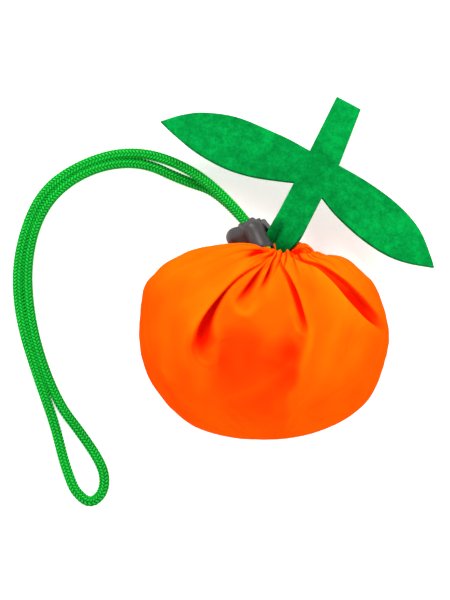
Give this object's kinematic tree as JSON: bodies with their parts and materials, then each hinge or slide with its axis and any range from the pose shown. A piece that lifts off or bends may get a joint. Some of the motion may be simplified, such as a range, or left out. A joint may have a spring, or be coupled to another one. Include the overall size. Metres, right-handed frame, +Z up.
{
  "type": "foldaway shopping bag in a fruit-shaped pouch",
  "caption": "Folded shopping bag packed in a round orange drawstring pouch like a citrus fruit, closed by a looped braided cord with a spring cord lock, with a bending felt stem and leaves.",
  "frame": {"origin": "middle of the flat patch of the pouch's back panel that rests on the table", "axes": "+X to the pouch's right, +Y from the pouch's closed end towards its gathered mouth, +Z up from the table, out of the pouch's front panel"},
  "size_m": [0.1788, 0.1751, 0.056],
  "materials": {
    "pouch_fabric": "thin coated nylon taffeta with a soft satin sheen",
    "tote_fabric": "thin nylon taffeta, folded",
    "tether_ribbon": "woven grosgrain ribbon",
    "seam_thread": "spun polyester sewing thread",
    "cord_braid": "round braided polyester cord",
    "whipping": "tight wound thread",
    "lock_plastic": "moulded plastic, satin",
    "spring_steel": "bright drawn spring wire",
    "leaf_felt": "pressed needle felt, mottled"
  },
  "bodies": {
    "pouch": {"pouch_front_panel": "pouch_fabric", "pouch_back_panel": "pouch_fabric", "edge_overlock_seam": "seam_thread", "drawcord_channel": "pouch_fabric", "channel_stitching": "seam_thread", "drawcord_loop": "cord_braid", "drawcord_in_channel": "cord_braid", "cord_whipping": "whipping", "felt_stem_base": "leaf_felt", "stem_stitching": "seam_thread", "tote_front_panel": "tote_fabric", "tote_back_panel": "tote_fabric", "tote_handle_front": "tote_fabric", "tote_handle_back": "tote_fabric", "tote_tether": "tether_ribbon"},
    "cord_lock": {"lock_housing": "lock_plastic", "lock_spring": "spring_steel"},
    "lock_button": {"lock_plunger": "lock_plastic"},
    "leaf": {"felt_leaf": "leaf_felt"}
  },
  "joints": [
    {"name": "lock_slide", "type": "slide", "parent": "pouch", "child": "cord_lock", "axis": [-0.558, 0.7142, -0.4226], "range_m": [0, 0.007]},
    {"name": "button_press", "type": "slide", "parent": "cord_lock", "child": "lock_button", "axis": [-0.788, -0.6157, 0], "range_m": [0, 0.002], "stiffness_N_per_m": 1200, "springref_m": -0.001, "deforming": ["lock_spring"]},
    {"name": "leaf_bend", "type": "hinge", "parent": "pouch", "child": "leaf", "pos_m": [0.0099, 0.0469, 0.0264], "axis": [0.907, -0.421, 0], "range_deg": [-3, 75], "stiffness_Nm_per_rad": 0.05}
  ]
}
